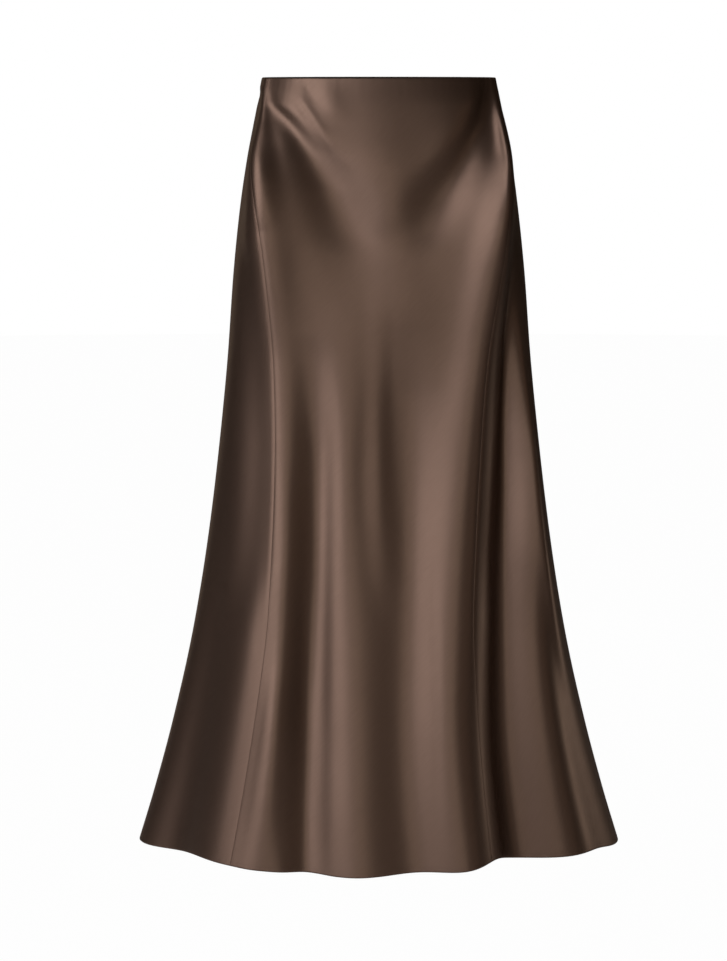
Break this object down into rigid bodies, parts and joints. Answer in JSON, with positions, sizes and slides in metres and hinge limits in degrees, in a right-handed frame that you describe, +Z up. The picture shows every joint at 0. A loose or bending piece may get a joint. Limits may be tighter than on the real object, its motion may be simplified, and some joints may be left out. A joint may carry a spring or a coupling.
{
  "type": "slip skirt",
  "caption": "Long bias-cut satin slip skirt held in its worn shape: a hollow flared tube with a narrow waist, V drag lines under the waist and soft folds down to a waved hem.",
  "frame": {"origin": "centre of the waist opening, level with its top edge", "axes": "+Z up, the front faces -Y, +X to the right of someone who looks at the front"},
  "size_m": [0.5295, 0.3349, 0.8413],
  "materials": {
    "satin": "smooth mocha brown satin with a soft directional sheen",
    "satin_inside": "duller wrong side of the same satin"
  },
  "bodies": {
    "root": {"front_panel": "satin", "back_panel": "satin", "front_waist_casing": "satin_inside", "back_waist_casing": "satin_inside", "front_hem": "satin_inside", "back_hem": "satin_inside"}
  },
  "joints": []
}
